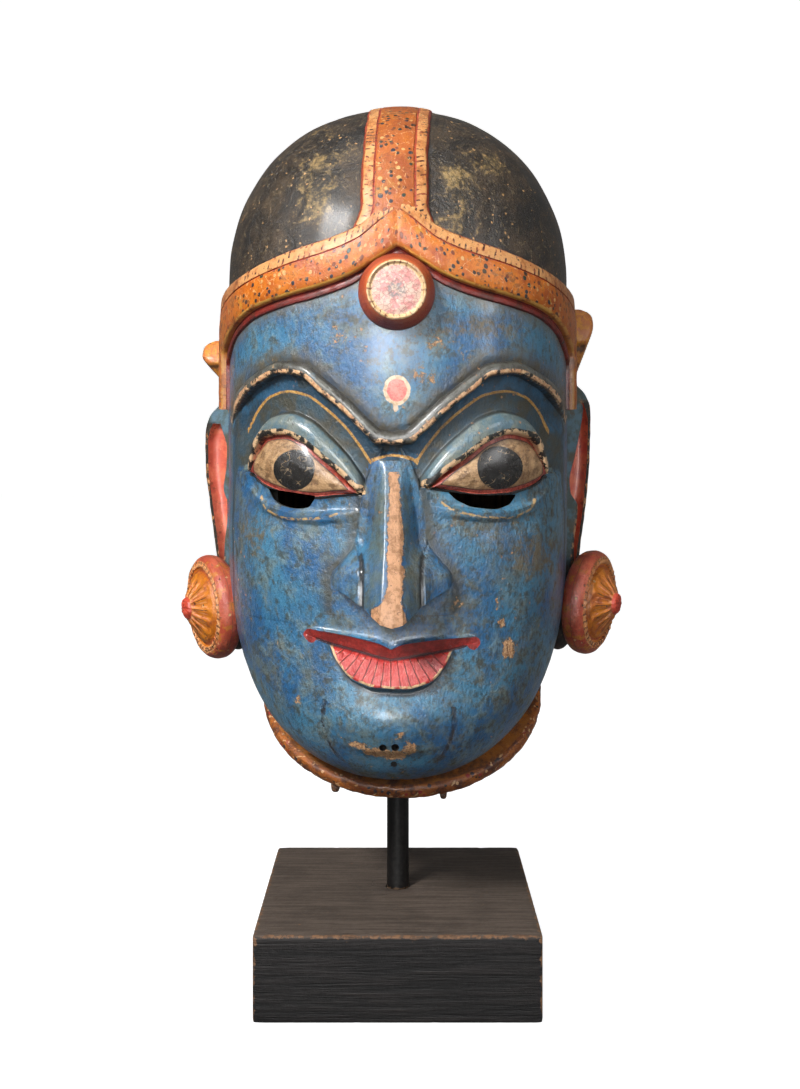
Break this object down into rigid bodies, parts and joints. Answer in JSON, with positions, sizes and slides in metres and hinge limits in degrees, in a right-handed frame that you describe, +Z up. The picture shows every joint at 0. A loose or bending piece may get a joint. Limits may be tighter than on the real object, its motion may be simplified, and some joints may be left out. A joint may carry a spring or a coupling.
{
  "type": "tibetan cham mask",
  "caption": "Hollow carved wooden mask, painted blue with a hair band, forehead boss and ear discs, held upright by a steel rod in a square wooden plinth.",
  "frame": {"origin": "middle of the plinth's underside", "axes": "+Z up along the rod, -Y out of the face, +X to the left ear as worn, which is the viewer's right"},
  "size_m": [0.2476, 0.2347, 0.488],
  "materials": {
    "painted_wood": "worn gloss paint over a pale ground",
    "black_steel": "satin black",
    "stained_wood": "black stain with worn edges"
  },
  "bodies": {
    "root": {"mask": "painted_wood", "rod": "black_steel", "plinth": "stained_wood"}
  },
  "joints": []
}
